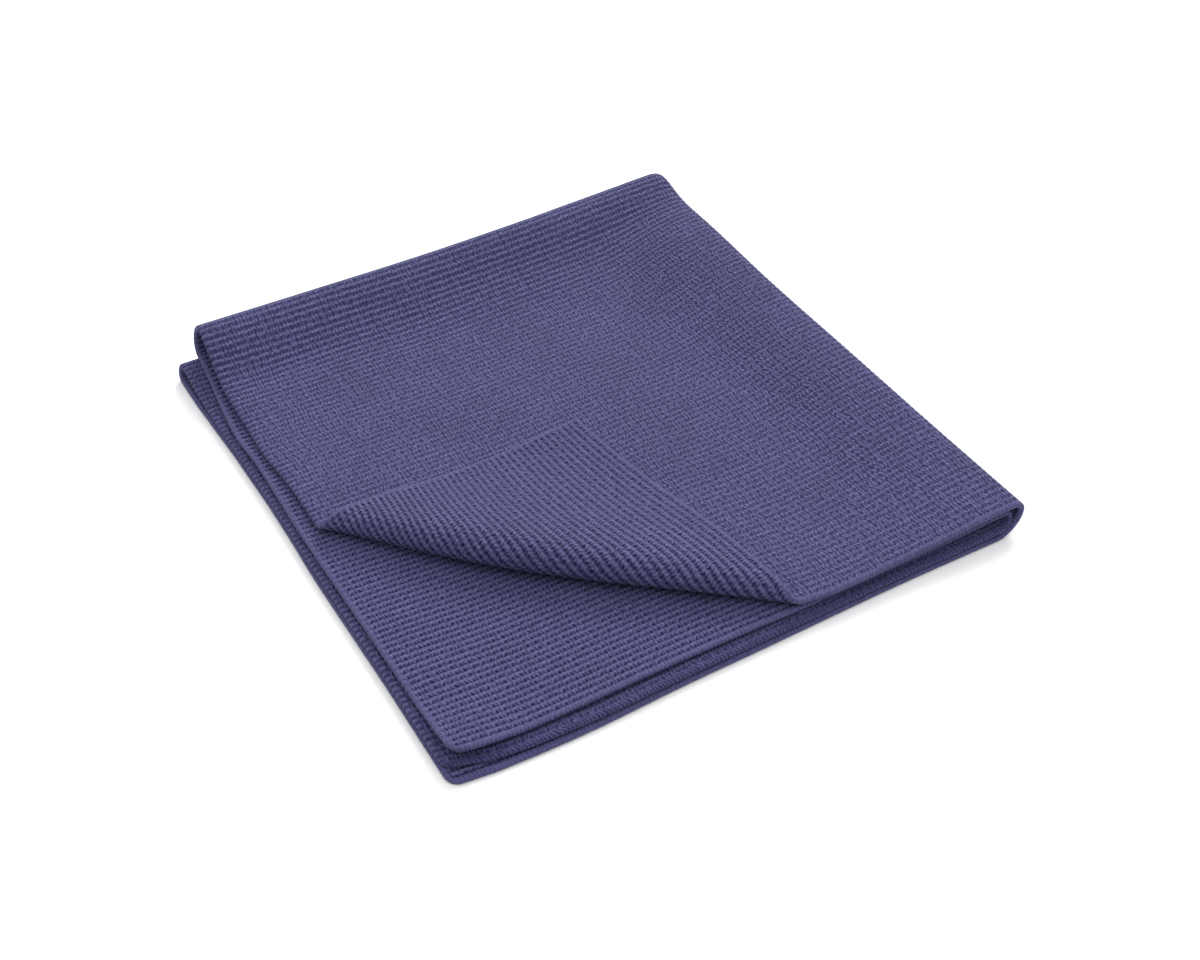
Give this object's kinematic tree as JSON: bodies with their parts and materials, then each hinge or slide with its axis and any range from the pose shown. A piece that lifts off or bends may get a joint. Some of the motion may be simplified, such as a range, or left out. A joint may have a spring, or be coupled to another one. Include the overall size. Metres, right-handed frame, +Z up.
{
  "type": "microfibre cleaning cloth",
  "caption": "Square knitted microfibre cloth lying folded in quarters, with the free corner of its top layer turned back; for wiping and drying tableware.",
  "frame": {"origin": "on the surface the cloth lies on, under the middle of the folded cloth", "axes": "+Z up; +X from the front corner, which is open on both sides, along the front free edges to the right fold; +Y from that corner along the left free edges to the back fold"},
  "size_m": [0.1966, 0.207, 0.0222],
  "materials": {
    "cloth": "matt"
  },
  "bodies": {
    "root": {"cloth": "cloth"}
  },
  "joints": []
}
